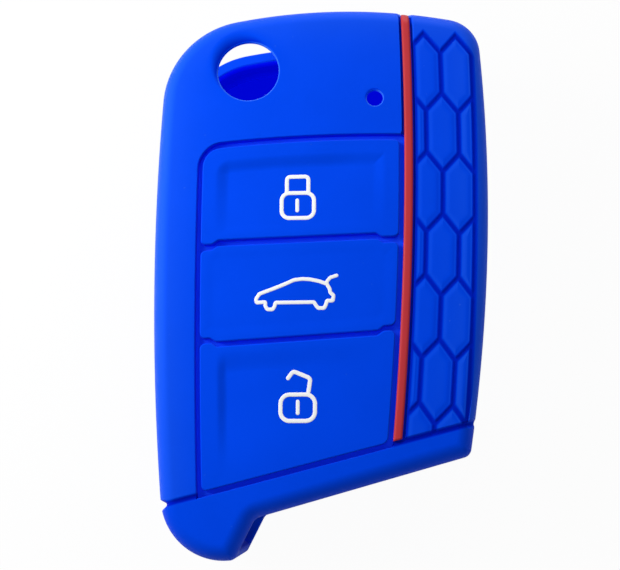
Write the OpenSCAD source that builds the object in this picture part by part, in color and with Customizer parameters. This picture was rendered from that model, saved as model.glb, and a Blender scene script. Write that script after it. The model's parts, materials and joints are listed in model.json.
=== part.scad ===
// Silicone cover for a folding car key.
// The cover lies on its back: X runs across it, Y runs up towards the round button hole,
// Z comes out of the front face. The origin is under the middle, on the back face.

/* [Body] */
// width over the two sides at their widest
body_w = 45.2; // [44:0.1:48]
// length from the end of the tail to the top edge
body_l = 74.8; // [73:0.1:78]
// thickness from the back face to the front face
body_t = 19; // [17:0.1:22]
// thickness of the side walls
wall = 1.6; // [1.2:0.1:2]
// thickness of the back wall
back_wall = 1.6; // [1.2:0.1:2.4]
// thickness of the front wall, which carries the buttons
front_wall = 1.8; // [1.6:0.1:2.4]
// rounding of the long edges, front and back
edge_r = 2.2; // [1.8:0.1:2.4]

/* [Outline] */
// radius of the long left side
left_r = 350; // [300:5:500]
// how far above the middle the left side is widest
left_peak = 3.3; // [0:0.1:6]
// radius of the long right side
right_r = 231; // [200:1:300]
// how far above the middle the right side is widest
right_peak = 14.6; // [12:0.1:16]
// radius of the top edge
top_r = 78; // [70:1:90]
// how far right of the middle the top edge is highest
top_peak = 2.2; // [0:0.1:4]
// radius of the large top left corner
top_left_r = 12.4; // [11:0.1:14]
// radius of the top right corner
top_right_r = 5.1; // [4:0.1:6]
// radius of the bottom right corner
low_right_r = 1.3; // [1:0.1:3]
// how far above the end of the tail the slanted bottom edge crosses the centre line
slant_up = 7.85; // [6:0.05:9]
// slant of the bottom edge, in degrees
slant = 15.9; // [13:0.1:18]

/* [Tail] */
// radius of the large round corner of the tail
tail_r = 8.4; // [7:0.1:9]
// radius of the small corner of the tail
tail_corner_r = 1; // [0.8:0.1:3]
// radius of the hollow corner where the tail leaves the bottom edge
tail_hollow_r = 1.6; // [1:0.1:2.5]
// how far in from the left side the open side of the tail lies at its middle
tail_in = 12.9; // [12:0.1:14]
// how far above the end of the tail that point lies
tail_up = 3.2; // [2.8:0.1:4]
// steepness of the open side of the tail, in degrees
tail_slant = 63.2; // [60:0.1:75]

/* [Openings] */
// radius of the round hole for the blade's release button
release_r = 4.3; // [4:0.05:4.6]
// how far in from the left side the release hole lies
release_in = 12.9; // [12:0.1:14]
// how far below the top edge the release hole lies
release_down = 9.3; // [9:0.1:11]
// how far the sloping rim of the release hole spreads
release_rim = 1.1; // [0.5:0.1:1.2]
// depth of that rim
release_rim_depth = 0.7; // [0.3:0.1:1]
// radius of the small hole over the key's lamp
lamp_r = 1.1; // [0.8:0.05:1.5]
// how far left of the strip the lamp hole lies
lamp_in = 4.5; // [3:0.05:6]
// how far below the top edge the lamp hole lies
lamp_down = 13.35; // [10:0.05:15]
// height of the blade slot in the left side
slot_h = 8.4; // [7:0.1:9]
// how high the blade slot starts above the back face
slot_z = 5; // [4:0.1:6]
// how far above the end of the tail the blade slot starts
slot_up = 13.4; // [12:0.1:22]
// how far in from the left side the blade slot reaches along the top edge
slot_along = 19.1; // [16:0.1:20]
// rim left above and below the open side of the tail
tail_rim = 2.4; // [2:0.1:4]
// length of the open side of the tail
tail_open = 6.1; // [4:0.1:6.5]
// how far the middle of the opening lies above the middle of that side
tail_open_up = 0.9; // [0.5:0.05:1.1]

/* [Buttons] */
// width of the grooves round the three buttons
groove_w = 0.65; // [0.5:0.05:0.8]
// thickness of the thin webs that the buttons hang on
web_t = 0.5; // [0.4:0.05:0.8]
// how far in from the left side the left button groove lies
panel_in = 6.2; // [5.6:0.1:6.6]
// radius of the left button groove
panel_left_r = 760; // [500:10:1000]
// how far below the top edge the top button groove lies at its highest
panel_down = 18.7; // [18.4:0.1:19.9]
// radius of the top button groove
panel_top_r = 195; // [150:5:250]
// how far right of the middle the top button groove is highest
panel_top_peak = 5; // [3:0.5:7]
// radius of the top left corner of the buttons
panel_corner_r = 2.9; // [2:0.1:4]
// rounding of the corners of each button
button_corner_r = 0.5; // [0.2:0.1:1]
// slant of the groove under the buttons, in degrees
low_groove_slant = 14.5; // [12:0.1:17]
// how far above the slanted bottom edge that groove crosses the centre line
low_groove_up = 4.55; // [4:0.05:5.5]
// share of the buttons' height that lies above the upper dividing groove
upper_share = 0.35; // [0.3:0.01:0.4]
// how much the upper dividing groove rises from left to right
upper_divide_rise = 1; // [0:0.05:1.5]
// share of the buttons' height that lies above the lower dividing groove
lower_share = 0.637; // [0.6:0.001:0.68]
// how much the lower dividing groove rises from left to right
lower_divide_rise = 1.85; // [0:0.05:2.5]
// how far the dividing grooves step outwards to widen the middle button
divide_step = 0.55; // [0:0.05:1]
// distance from the sides of the buttons to those steps
divide_margin = 1.8; // [1:0.1:3]
// length over which each step runs out
divide_run = 0.95; // [0.5:0.05:1.5]
// greatest depth of the finger hollows in the upper and lower buttons
dish_depth = 0.5; // [0.2:0.05:0.6]
// margin between a finger hollow and the edge of its button
dish_margin = 2; // [1.5:0.1:3]
// rounding of the corners of the finger hollows
dish_corner_r = 1.8; // [1:0.1:3]

/* [Accent strip and grip] */
// width of the coloured strip
strip_w = 1.15; // [0.9:0.05:1.4]
// thickness of the coloured strip
strip_t = 0.6; // [0.4:0.05:0.8]
// width of the groove beside the strip
strip_gap = 0.35; // [0.2:0.05:0.5]
// how far in from the right side the strip lies at its furthest
strip_in = 10.65; // [10.2:0.05:11.2]
// how far below the top edge that point lies
strip_down = 16.2; // [12:0.1:20]
// radius of the strip's curve
strip_r = 460; // [400:5:600]
// width of one cell of the honeycomb grip, groove included
cell_w = 4.35; // [4.2:0.05:4.5]
// length of the straight sides of a cell
cell_side = 5.8; // [5.5:0.1:6.2]
// height of the pointed end of a cell
cell_point = 2.6; // [2.3:0.1:2.8]
// width of the grooves between the cells
cell_gap = 0.65; // [0.5:0.05:0.8]
// depth of those grooves
cell_depth = 0.45; // [0.3:0.05:0.6]
// distance from the strip to the middle column of cells
cell_mid = 4.55; // [4.4:0.05:4.7]
// distance from the strip to the right border of the grip
grip_w = 8.8; // [8.5:0.1:9]
// how far below the top edge the top row of cells is centred
cell_down = 9.9; // [9.5:0.1:11]
// how much each row of cells falls from left to right, as a share of the way across
cell_fall = 0.1; // [0:0.01:0.15]
// depth of the groove that divides off the tail end
low_groove_depth = 0.6; // [0.3:0.05:0.8]

/* [Part] */
// which piece to build

/* [Hidden] */

sleeve_blue = [0, 0.3, 0.93];
button_blue = [0.02, 0.32, 0.95];
web_blue = [0, 0.1, 0.72];
strip_red = [0.78, 0.2, 0.22];

// places worked out from the sides, the top edge and the tail's end
slant_y = body_l / 2 - slant_up;
release_x = body_w / 2 - release_in;
release_y = body_l / 2 - release_down;
strip_x = body_w / 2 - strip_in;
strip_peak = body_l / 2 - strip_down;
lamp_x = strip_x - lamp_in;
lamp_y = body_l / 2 - lamp_down;
panel_left = body_w / 2 - panel_in;
panel_top = body_l / 2 - panel_down;
low_groove_y = slant_y - low_groove_up;
upper_divide_y = panel_top - upper_share * (panel_top + low_groove_y);
lower_divide_y = panel_top - lower_share * (panel_top + low_groove_y);
cell_top_y = body_l / 2 - cell_down;
cell_pitch = cell_side + cell_point;

// how far a cutter runs past the face that it cuts
over = 1;
// reach of the half planes that the outlines are clipped with
reach = body_l;
// steps in which the quarter rounding of a long edge is drawn
edge_steps = 6;
$fn = 64;

function unit_at(a) = [cos(a), sin(a)];
function angle_of(v) = atan2(v[1], v[0]);

// where two circles cross: side 1 is left of the line from the first centre to the second
function circles_meet(c1, r1, c2, r2, side) =
  let (d = norm(c2 - c1))
  let (u = (c2 - c1) / d)
  let (a = (d * d + r1 * r1 - r2 * r2) / (2 * d))
  c1 + a * u + side * sqrt(r1 * r1 - a * a) * [-u[1], u[0]];

// where the line through p along the unit vector u crosses a circle: side 1 is the far crossing
function line_meets_circle(p, u, c, r, side) =
  let (w = c - p)
  p + (w * u + side * sqrt(r * r - w * w + (w * u) * (w * u))) * u;

// where the line through p along u crosses the line through q along v
function lines_meet(p, u, q, v) = p + u * (cross(q - p, v) / cross(u, v));

// points along an arc in a number of equal steps
function arc_points(c, r, from, to, steps) =
  [for (i = [0 : steps]) c + r * unit_at(from + (to - from) * i / steps)];

// the outline: long arcs first, then the corners that join them
left_c = [left_r - body_w / 2, left_peak];
right_c = [body_w / 2 - right_r, right_peak];
top_c = [top_peak, body_l / 2 - top_r];
top_left_c = circles_meet(left_c, left_r - top_left_r, top_c, top_r - top_left_r, -1);
top_right_c = circles_meet(top_c, top_r - top_right_r, right_c, right_r - top_right_r, -1);
slant_p = [0, -slant_y];
slant_u = unit_at(slant);
slant_n = unit_at(slant - 90);
function low_right_at(r) = line_meets_circle(slant_p - r * slant_n, slant_u, right_c, right_r - r, 1);
tail_p = [tail_in - body_w / 2, tail_up - body_l / 2];
tail_u = unit_at(tail_slant);
tail_n = unit_at(tail_slant - 90);
hollow_c = lines_meet(slant_p + tail_hollow_r * slant_n, slant_u, tail_p + tail_hollow_r * tail_n, tail_u);
tail_c = line_meets_circle([0, tail_r - body_l / 2], [1, 0], left_c, left_r - tail_r, -1);
function tail_corner_at(r) = line_meets_circle(tail_p - r * tail_n, tail_u, tail_c, tail_r - r, -1);

// angles at which one arc of the outline hands over to the next, anticlockwise from the right
turn_right_top = angle_of(top_right_c - right_c);
turn_top_right = angle_of(top_right_c - top_c);
turn_top_left = angle_of(top_left_c - top_c);
turn_left_top = angle_of(top_left_c - left_c);
turn_left_tail = angle_of(tail_c - left_c) + 360;
turn_tail_side = tail_slant + 270;

// radius that the two small corners keep where the outline is moved inwards past their own
corner_least = 0.2;

// the outline drawn as points, moved inwards by inset
function outline(inset) =
  let (low_right_fill = max(low_right_r, inset + corner_least))
  let (tail_corner_fill = max(tail_corner_r, inset + corner_least))
  let (low_right_c = low_right_at(low_right_fill))
  let (tail_corner_c = tail_corner_at(tail_corner_fill))
  let (turn_low_right = angle_of(low_right_c - right_c))
  let (turn_tail_corner = angle_of(tail_corner_c - tail_c) + 360)
  concat(
    arc_points(right_c, right_r - inset, turn_low_right, turn_right_top, 9),
    arc_points(top_right_c, top_right_r - inset, turn_right_top, turn_top_right, 10),
    arc_points(top_c, top_r - inset, turn_top_right, turn_top_left, 11),
    arc_points(top_left_c, top_left_r - inset, turn_top_left, turn_left_top, 14),
    arc_points(left_c, left_r - inset, turn_left_top, turn_left_tail, 8),
    arc_points(tail_c, tail_r - inset, turn_left_tail, turn_tail_corner, 15),
    arc_points(tail_corner_c, tail_corner_fill - inset, turn_tail_corner, turn_tail_side, 8),
    arc_points(hollow_c, tail_hollow_r + inset, tail_slant + 90, slant + 90, 6),
    arc_points(low_right_c, low_right_fill - inset, slant - 90, turn_low_right, 6)
  );

// rings of points that run up the side wall of the body, moved inwards by inset all round
function body_rings(inset) =
  let (r = edge_r - inset)
  [for (side = [0, 1]) for (i = [0 : edge_steps])
    let (a = 90 * (side == 0 ? i - edge_steps : i) / edge_steps)
    let (z = side == 0 ? inset + r : body_t - inset - r)
    [for (p = outline(inset + r - r * cos(a))) [p[0], p[1], z + r * sin(a)]]];

// a closed skin over rings that all have the same number of points, lowest ring first
module skin(rings) {
  n = len(rings[0]);
  m = len(rings);
  polyhedron(
    points = [for (ring = rings) each ring],
    faces = concat(
      [[for (i = [0 : n - 1]) i]],
      [[for (i = [n - 1 : -1 : 0]) (m - 1) * n + i]],
      [for (j = [0 : m - 2]) for (i = [0 : n - 1])
        [j * n + i, (j + 1) * n + i, (j + 1) * n + (i + 1) % n, j * n + (i + 1) % n]]
    )
  );
}

// the coloured strip's course: how far right of the middle it lies at height y
function strip_at(y) = strip_x - strip_r + sqrt(strip_r * strip_r - (y - strip_peak) * (y - strip_peak));

// heights at which anything that follows the strip is drawn
strip_steps = 16;
function strip_y(i, low, high) = low + (high - low) * i / strip_steps;

// band beside the strip, between two distances from its course
module beside_strip(from, to, low, high) {
  polygon(concat(
    [for (i = [0 : strip_steps]) let (y = strip_y(i, low, high)) [strip_at(y) + to, y]],
    [for (i = [strip_steps : -1 : 0]) let (y = strip_y(i, low, high)) [strip_at(y) + from, y]]
  ));
}

// everything above the groove that divides off the tail end, moved down by drop
low_u = unit_at(low_groove_slant);
module above_low_groove(drop) {
  translate([0, -low_groove_y - drop / low_u[0]])
    rotate(low_groove_slant)
      translate([-reach, 0])
        square([2 * reach, reach]);
}

// the field of the three buttons out to the middle of the groove round it
panel_left_c = [panel_left_r - panel_left, left_peak];
panel_top_c = [panel_top_peak, panel_top - panel_top_r];
panel_corner_c = circles_meet(panel_left_c, panel_left_r - panel_corner_r,
                              panel_top_c, panel_top_r - panel_corner_r, -1);
panel_turn_top = angle_of(panel_corner_c - panel_top_c);
panel_turn_left = angle_of(panel_corner_c - panel_left_c);
panel_right = -strip_w / 2 - groove_w / 2;
module panel() {
  intersection() {
    above_low_groove(0);
    beside_strip(-body_w, panel_right, -reach / 2, reach / 2);
    polygon(concat(
      [[body_w / 2, -reach / 2]],
      arc_points(panel_top_c, panel_top_r, 90 - (panel_turn_top - 90) / 2, panel_turn_top, 8),
      arc_points(panel_corner_c, panel_corner_r, panel_turn_top, panel_turn_left, 6),
      arc_points(panel_left_c, panel_left_r, panel_turn_left, 180 + asin(reach / 2 / panel_left_r), 6)
    ));
  }
}

// the middle of a dividing groove, from beyond the left of the field to beyond its right
divide_x = [-body_w, divide_margin - panel_left, divide_margin + divide_run - panel_left,
            strip_x - 2 * divide_margin - divide_run, strip_x - 2 * divide_margin, body_w];
divide_steps = [0, 0, 1, 1, 0, 0];
function divide(y, rise, step) =
  [for (i = [0 : len(divide_x) - 1])
    [divide_x[i], y + rise * (divide_x[i] + panel_left) / (panel_left + strip_x) + step * divide_steps[i]]];
upper_divide = divide(upper_divide_y, upper_divide_rise, divide_step);
lower_divide = divide(lower_divide_y, lower_divide_rise, -divide_step);

// the level band of each button: 0 is the upper, 1 the middle, 2 the lower
function reversed(list) = [for (i = [len(list) - 1 : -1 : 0]) list[i]];
bands = [
  concat(upper_divide, [[body_w, reach], [-body_w, reach]]),
  concat(lower_divide, reversed(upper_divide)),
  concat([[-body_w, -reach], [body_w, -reach]], reversed(lower_divide))
];

// a button's outline, moved inwards by margin and with its corners rounded
module button_outline(i, margin, corner) {
  offset(r = corner)
    offset(delta = -groove_w / 2 - margin - corner)
      intersection() {
        panel();
        polygon(bands[i]);
      }
}

// the opening that the buttons and their grooves fill
module panel_window() {
  offset(delta = groove_w / 2)
    panel();
}

// one button, before its finger hollow is cut
module button(i) {
  translate([0, 0, body_t - front_wall])
    linear_extrude(front_wall)
      button_outline(i, 0, button_corner_r);
}

// a finger hollow that starts level with the face at the point from and deepens along the direction toward
module finger_hollow(i, from, toward, length) {
  intersection() {
    translate([0, 0, body_t - dish_depth])
      linear_extrude(dish_depth + over)
        button_outline(i, dish_margin - groove_w / 2, dish_corner_r);
    translate([from[0], from[1], body_t])
      rotate(toward)
        rotate([0, atan(dish_depth / length), 0])
          translate([0, -reach, 0])
            cube([reach, 2 * reach, reach]);
  }
}

// the thin web that one button hangs on
module web(i) {
  translate([0, 0, body_t - front_wall])
    linear_extrude(web_t)
      difference() {
        intersection() {
          panel_window();
          polygon(bands[i]);
        }
        button_outline(i, 0, button_corner_r);
      }
}

// one cell of the honeycomb, its sides moved outwards by grow; x counts from the strip's course
cell_rows = 1 + floor((cell_top_y + low_groove_y - strip_x * tan(low_groove_slant) + cell_side / 2 + cell_point) / cell_pitch);
module cell(x, y, grow) {
  half = cell_w / 2 + grow;
  point = cell_side / 2 + cell_point + grow * norm([cell_w / 2, cell_point]) / (cell_w / 2);
  shoulder = point - cell_point * half / (cell_w / 2);
  fall = y - cell_fall * (x - cell_mid);
  polygon([
    for (c = [[0, point], [-half, shoulder], [-half, -shoulder], [0, -point], [half, -shoulder], [half, shoulder]])
      [strip_at(fall + c[1]) + x + c[0], fall + c[1]]
  ]);
}

// all cells of the grip, rows with two cells and rows with three in turn
module cells(grow) {
  for (row = [0 : cell_rows - 1])
    for (column = row % 2 == 0 ? [-1, 1] : [-2, 0, 2])
      cell(cell_mid + column * cell_w / 2, cell_top_y - row * cell_pitch, grow);
}

// the grooves between and round the cells
module grip_grooves() {
  inner = strip_w / 2 + strip_gap;
  difference() {
    intersection() {
      beside_strip(inner - strip_gap / 2, grip_w + cell_gap / 2, -reach / 2, reach / 2);
      cells(cell_gap / 2);
      above_low_groove(0);
    }
    intersection() {
      beside_strip(inner + strip_gap, grip_w - cell_gap / 2, -reach / 2, reach / 2);
      cells(-cell_gap / 2);
    }
  }
}

// the strip's bed, cut into the front face and over the top edge; half is its half width
module strip_bed(half) {
  difference() {
    translate([0, 0, body_t - edge_r - strip_t])
      linear_extrude(edge_r + strip_t + over)
        intersection() {
          beside_strip(-half, half, -reach / 2, reach / 2 + over);
          above_low_groove(-groove_w / 2);
        }
    skin(body_rings(strip_t));
  }
}

// the groove that divides off the tail end and runs down over the left side
module low_groove() {
  difference() {
    translate([0, -low_groove_y, edge_r])
      rotate(low_groove_slant)
        translate([-reach / 2, -groove_w / 2, 0])
          cube([reach / 2 + grip_w + strip_x, groove_w, body_t]);
    skin(body_rings(low_groove_depth));
  }
}

// the round hole for the release button, with its sloping rim
module release_hole() {
  translate([-release_x, release_y, body_t - front_wall - over])
    cylinder(h = front_wall + 2 * over, r = release_r);
  translate([-release_x, release_y, body_t - release_rim_depth])
    cylinder(h = 2 * release_rim_depth, r1 = release_r, r2 = release_r + 2 * release_rim);
}

// a slot with one round end, lying along the way that the blade swings out
module slot_shape(length) {
  translate([slot_h / 2, 0])
    circle(slot_h / 2);
  square([slot_h, length]);
}

// the blade slot: one stretch through the left side, one through the top edge, meeting at the corner
module blade_slot() {
  translate([-body_w / 2 - over, slot_up + slot_h / 2 - body_l / 2, slot_z + slot_h])
    rotate([0, 90, 0])
      linear_extrude(top_left_r)
        slot_shape(body_l - slot_up);
  translate([slot_along - slot_h / 2 - body_w / 2, body_l / 2 + over, slot_z])
    rotate([90, -90, 0])
      linear_extrude(top_left_r)
        slot_shape(slot_along);
}

// the open side of the tail, through which the key's ring passes
module tail_opening() {
  low = tail_corner_at(tail_corner_r) + tail_corner_r * tail_n;
  high = hollow_c - tail_hollow_r * tail_n;
  translate([(low[0] + high[0]) / 2, (low[1] + high[1]) / 2, tail_rim])
    rotate(tail_slant)
      translate([tail_open_up - tail_open / 2, -over, 0])
        cube([tail_open, wall + 2 * over, body_t - 2 * tail_rim]);
}

module sleeve() {
  color(sleeve_blue)
    difference() {
      skin(body_rings(0));
      translate([0, 0, back_wall])
        linear_extrude(body_t - back_wall - front_wall)
          polygon(outline(wall));
      translate([0, 0, body_t - front_wall - over])
        linear_extrude(front_wall + 2 * over)
          panel_window();
      translate([0, 0, body_t - cell_depth])
        linear_extrude(cell_depth + over)
          grip_grooves();
      strip_bed(strip_w / 2 + strip_gap);
      low_groove();
      release_hole();
      translate([lamp_x, lamp_y, body_t - front_wall - over])
        cylinder(h = front_wall + 2 * over, r = lamp_r);
      blade_slot();
      tail_opening();
    }
}

module accent_strip() {
  color(strip_red)
    intersection() {
      strip_bed(strip_w / 2);
      skin(body_rings(0));
    }
}

module lock_button() {
  color(button_blue)
    difference() {
      button(0);
      finger_hollow(0, [0, upper_divide_y + dish_margin], 90, panel_top - upper_divide_y - 2 * dish_margin);
    }
}

module boot_button() {
  color(button_blue)
    button(1);
}

module unlock_button() {
  color(button_blue)
    difference() {
      button(2);
      finger_hollow(2, [strip_x - dish_margin, 0], 180, panel_left + strip_x - 2 * dish_margin);
    }
}

module lock_button_web() {
  color(web_blue)
    web(0);
}

module boot_button_web() {
  color(web_blue)
    web(1);
}

module unlock_button_web() {
  color(web_blue)
    web(2);
}

sleeve();
lock_button();
boot_button();
unlock_button();
lock_button_web();
boot_button_web();
unlock_button_web();
accent_strip();
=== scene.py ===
# %% [markdown]
# # A silicone cover for a folding car key
# The cover is one soft moulding with three buttons pressed out of its front, a honeycomb grip and a
# thin red strip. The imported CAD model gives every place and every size. This lesson builds the
# skin that the camera sees: each piece is a surface worked out from a formula, in the CAD frame.

import json
import math

import bpy
import numpy as np
from mathutils import Matrix, Vector

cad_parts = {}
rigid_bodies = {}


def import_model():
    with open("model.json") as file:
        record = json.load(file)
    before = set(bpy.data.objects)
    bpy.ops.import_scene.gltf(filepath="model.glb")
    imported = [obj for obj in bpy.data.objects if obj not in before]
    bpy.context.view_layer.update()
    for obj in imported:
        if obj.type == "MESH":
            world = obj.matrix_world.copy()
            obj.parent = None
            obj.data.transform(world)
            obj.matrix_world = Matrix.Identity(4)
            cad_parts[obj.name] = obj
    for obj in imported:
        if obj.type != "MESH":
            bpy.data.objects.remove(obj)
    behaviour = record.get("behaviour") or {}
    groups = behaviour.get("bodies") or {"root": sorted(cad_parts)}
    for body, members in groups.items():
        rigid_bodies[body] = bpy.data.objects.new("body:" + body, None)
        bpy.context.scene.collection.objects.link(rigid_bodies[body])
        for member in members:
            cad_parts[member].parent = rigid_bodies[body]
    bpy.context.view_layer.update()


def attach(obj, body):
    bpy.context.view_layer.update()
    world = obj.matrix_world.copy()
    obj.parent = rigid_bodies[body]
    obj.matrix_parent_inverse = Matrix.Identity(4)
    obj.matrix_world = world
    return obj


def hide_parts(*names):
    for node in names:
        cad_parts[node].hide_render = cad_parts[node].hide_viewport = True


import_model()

# %% [markdown]
# ## The camera
# The photograph was taken from almost straight in front, a little from below and from the right.
# The camera stands 150 mm from the middle of the cover. A long lens keeps the sides nearly upright.

# %% The camera
MM = 0.001
FROM_BELOW, FROM_RIGHT = math.radians(10), math.radians(3)
DISTANCE, LENS = 150, 62.71


def add_object(name, data):
    """New object of the scene."""
    thing = bpy.data.objects.new(name, data)
    bpy.context.scene.collection.objects.link(thing)
    return thing


def add_camera(target):
    """Camera at target + DISTANCE * back, where back leans down and to the right from the Z axis."""
    level = math.cos(FROM_BELOW)
    back = Vector((math.sin(FROM_RIGHT) * level, -math.sin(FROM_BELOW), math.cos(FROM_RIGHT) * level))
    side = Vector((0, 1, 0)).cross(back).normalized()
    data = bpy.data.cameras.new("front_camera")
    data.sensor_width, data.lens, data.clip_start = 36, LENS, 0.01
    camera = add_object("front_camera", data)
    camera.location = (Vector(target) + back * DISTANCE) * MM
    camera.rotation_mode = "QUATERNION"
    camera.rotation_quaternion = Matrix((side, back.cross(side), back)).transposed().to_quaternion()
    bpy.context.scene.camera = camera
    return camera


camera = add_camera(target=(-1.75, -0.485, 12))
print("camera at", [round(v / MM, 1) for v in camera.location], "mm")

# %% [markdown]
# ## The sizes
# These are the CAD model's own named sizes, in millimetres. X runs across the cover, Y up towards
# the round hole and Z out of the front. A point P with a slant stands for a straight line.

# %% Sizes of the body
BODY_W, BODY_L, BODY_T = 45.2, 74.8, 19.0
WALL, FRONT_WALL, EDGE_R = 1.6, 1.8, 2.2
LEFT_R, LEFT_PEAK = 350.0, 3.3
RIGHT_R, RIGHT_PEAK = 231.0, 14.6
TOP_R, TOP_PEAK = 78.0, 2.2
TOP_LEFT_R, TOP_RIGHT_R, LOW_RIGHT_R = 12.4, 5.1, 1.3
SLANT, SLANT_Y = math.radians(15.9), BODY_L / 2 - 7.85
TAIL_R, TAIL_CORNER_R, TAIL_HOLLOW_R = 8.4, 1.0, 1.6
TAIL_SLANT = math.radians(63.2)
TAIL_P = np.array([12.9 - BODY_W / 2, 3.2 - BODY_L / 2])
print("body:", BODY_W, "x", BODY_L, "x", BODY_T, "mm")

# %% [markdown]
# ## The outline
# Seen from the front, the cover is a chain of arcs that run smoothly into each other, with two
# straight stretches at the tail. A curve object could be drawn by hand over the photograph. Here the
# centres follow from the rule that neighbours share a tangent, so the outline has no kinks.

# %% Centres of the outline's arcs
TURN, RIGHT_ANGLE = 2 * math.pi, math.pi / 2


def unit(angle):
    """Unit vectors (cos, sin) for one angle or an array of angles."""
    return np.stack([np.cos(angle), np.sin(angle)], -1)


def turned(v):
    """Angle of a vector, or of each of an array of vectors, from the X axis."""
    return np.arctan2(v[..., 1], v[..., 0])


def circles_meet(c1, r1, c2, r2, side):
    """Crossing of two circles, on the left (side 1) or right (side -1) of the line between centres."""
    d = np.linalg.norm(c2 - c1)
    u = (c2 - c1) / d
    a = (d * d + r1 * r1 - r2 * r2) / (2 * d)
    return c1 + a * u + side * math.sqrt(r1 * r1 - a * a) * np.array([-u[1], u[0]])


def line_meets_circle(p, u, c, r, side):
    """Crossing of the line p + t u with a circle: side 1 is the far one. p and r may be arrays."""
    w = c - p
    along, far = (w * u).sum(-1), (w * w).sum(-1)
    return p + (along + side * np.sqrt(r**2 - far + along**2))[..., None] * u


def lines_meet(p, u, q, v):
    """Crossing of the lines p + t u and q + t v."""
    return p + u * (((q - p)[0] * v[1] - (q - p)[1] * v[0]) / (u[0] * v[1] - u[1] * v[0]))


left_c = np.array([LEFT_R - BODY_W / 2, LEFT_PEAK])
right_c = np.array([BODY_W / 2 - RIGHT_R, RIGHT_PEAK])
top_c = np.array([TOP_PEAK, BODY_L / 2 - TOP_R])
top_left_c = circles_meet(left_c, LEFT_R - TOP_LEFT_R, top_c, TOP_R - TOP_LEFT_R, -1)
top_right_c = circles_meet(top_c, TOP_R - TOP_RIGHT_R, right_c, RIGHT_R - TOP_RIGHT_R, -1)
slant_p, slant_u, slant_n = np.array([0, -SLANT_Y]), unit(SLANT), unit(SLANT - RIGHT_ANGLE)
tail_u, tail_n = unit(TAIL_SLANT), unit(TAIL_SLANT - RIGHT_ANGLE)
hollow_c = lines_meet(slant_p + TAIL_HOLLOW_R * slant_n, slant_u, TAIL_P + TAIL_HOLLOW_R * tail_n, tail_u)
tail_c = line_meets_circle(np.array([0, TAIL_R - BODY_L / 2]), np.array([1, 0]), left_c, LEFT_R - TAIL_R, -1)


def low_right_at(r):
    """Centre of the lower right corner when its radius is r."""
    r = np.asarray(r, float)
    return line_meets_circle(slant_p - r[..., None] * slant_n, slant_u, right_c, RIGHT_R - r, 1)


def tail_corner_at(r):
    """Centre of the tail's corner when its radius is r."""
    r = np.asarray(r, float)
    return line_meets_circle(TAIL_P - r[..., None] * tail_n, tail_u, tail_c, TAIL_R - r, -1)


low_right_c, tail_corner_c = low_right_at(LOW_RIGHT_R), tail_corner_at(TAIL_CORNER_R)
print("tail centre", tail_c.round(3), "top left centre", top_left_c.round(3))

# %% [markdown]
# Each stretch of the outline is one row of a table: its centre, its radius, the angle where it
# starts, the angle through which it turns, and whether it bulges out or in. A straight stretch is
# written as a start point, a direction and a length. Two arcs that touch meet on the line through
# their centres, which gives the angles.

# %% The outline as a table


def arc_row(c, r, start, end, bulge=1):
    """One arc of the outline; bulge -1 is hollow and runs clockwise."""
    turn = (end - start) % TURN if bulge > 0 else -((start - end) % TURN)
    return dict(kind="arc", c=c, r=r, start=start, turn=turn, bulge=bulge, length=abs(turn) * r)


def line_row(p, q):
    """One straight stretch from p to q, with the outside on its right."""
    u = (q - p) / np.linalg.norm(q - p)
    return dict(kind="line", p=p, u=u, n=np.array([u[1], -u[0]]), length=float(np.linalg.norm(q - p)))


def meeting(one, other):
    """Angle at which two touching circles meet, seen from the larger one's centre."""
    return turned(other[0] - one[0] if one[1] > other[1] else one[0] - other[0])


CHAIN = [(low_right_c, LOW_RIGHT_R), (right_c, RIGHT_R), (top_right_c, TOP_RIGHT_R), (top_c, TOP_R),
         (top_left_c, TOP_LEFT_R), (left_c, LEFT_R), (tail_c, TAIL_R), (tail_corner_c, TAIL_CORNER_R)]
meets = [meeting(*pair) for pair in zip(CHAIN, CHAIN[1:])] + [TAIL_SLANT - RIGHT_ANGLE]
OUTLINE = [arc_row(c, r, start, end) for (c, r), start, end in zip(CHAIN[1:], meets, meets[1:])]
OUTLINE += [
    line_row(tail_corner_c + TAIL_CORNER_R * tail_n, hollow_c - TAIL_HOLLOW_R * tail_n),
    arc_row(hollow_c, TAIL_HOLLOW_R, TAIL_SLANT + RIGHT_ANGLE, SLANT + RIGHT_ANGLE, bulge=-1),
    line_row(hollow_c - TAIL_HOLLOW_R * slant_n, low_right_c + LOW_RIGHT_R * slant_n),
    arc_row(low_right_c, LOW_RIGHT_R, SLANT - RIGHT_ANGLE, meets[0]),
]
STARTS = np.concatenate([[0], np.cumsum([row["length"] for row in OUTLINE])])
AROUND = float(STARTS[-1])
RIGHT, TOP_RIGHT, TOP, LEFT, TAIL = 0, 1, 2, 4, 5
TAIL_CORNER, TAIL_SIDE, TAIL_HOLLOW, SLANT_SIDE, LOW_RIGHT = 6, 7, 8, 9, 10
print("length of the outline:", round(AROUND, 1), "mm")

# %% [markdown]
# The band round the sides asks one question of the outline: where is the point at a distance s
# along it, and which way is out?

# %% Walking round the outline
CORNER_LEAST = 0.2


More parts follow.
